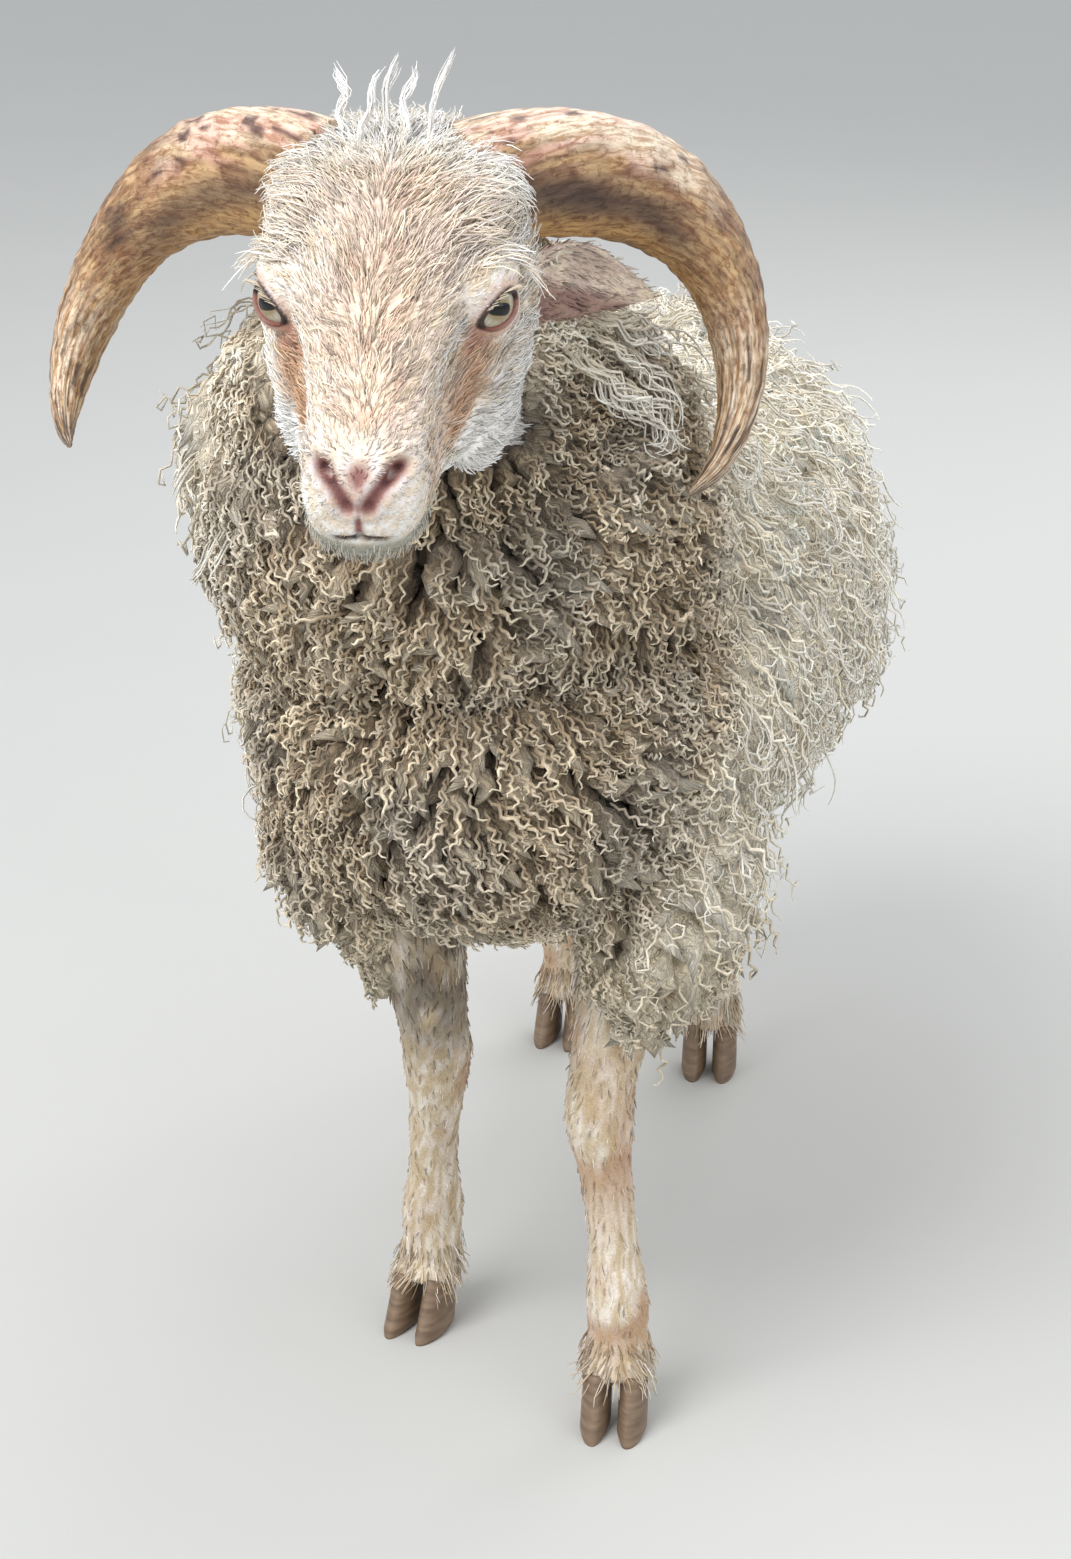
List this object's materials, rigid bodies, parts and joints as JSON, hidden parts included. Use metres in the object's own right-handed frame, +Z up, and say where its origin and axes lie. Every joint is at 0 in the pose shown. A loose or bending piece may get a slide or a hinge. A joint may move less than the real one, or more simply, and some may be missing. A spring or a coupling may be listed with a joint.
{
  "type": "ouessant sheep",
  "caption": "Life-size standing Ouessant ram with a deep curled fleece, bare face and legs, and horns that curl back, down and forward beside the cheeks; a still museum model.",
  "frame": {"origin": "on the ground under the middle of the animal's box", "axes": "+Z up, the sheep faces -Y, its left side is +X"},
  "size_m": [0.3454, 0.7654, 0.6965],
  "materials": {
    "face": "short cream and ginger hair, pink skin at the nose and eyes",
    "wool": "crimped cream wool with curled tips, grey-beige on the chest",
    "ear": "thin pale hair over pinkish skin",
    "leg": "short cream hair with tan patches",
    "eye": "wet gloss, pale iris with a black slot pupil",
    "horn": "dull brown horn, bone-coloured and pitted on top",
    "claw": "dull dark horn with growth rings"
  },
  "bodies": {
    "root": {"head": "face", "neck": "wool", "torso": "wool", "tail": "wool", "ear_left": "ear", "ear_right": "ear", "eye_left": "eye", "eye_right": "eye", "horn_left": "horn", "horn_right": "horn", "fore_leg_left": "leg", "fore_leg_right": "leg", "hind_leg_left": "leg", "hind_leg_right": "leg", "fore_claw_left_outer": "claw", "fore_claw_left_inner": "claw", "fore_claw_right_outer": "claw", "fore_claw_right_inner": "claw", "hind_claw_left_outer": "claw", "hind_claw_left_inner": "claw", "hind_claw_right_outer": "claw", "hind_claw_right_inner": "claw"}
  },
  "joints": []
}
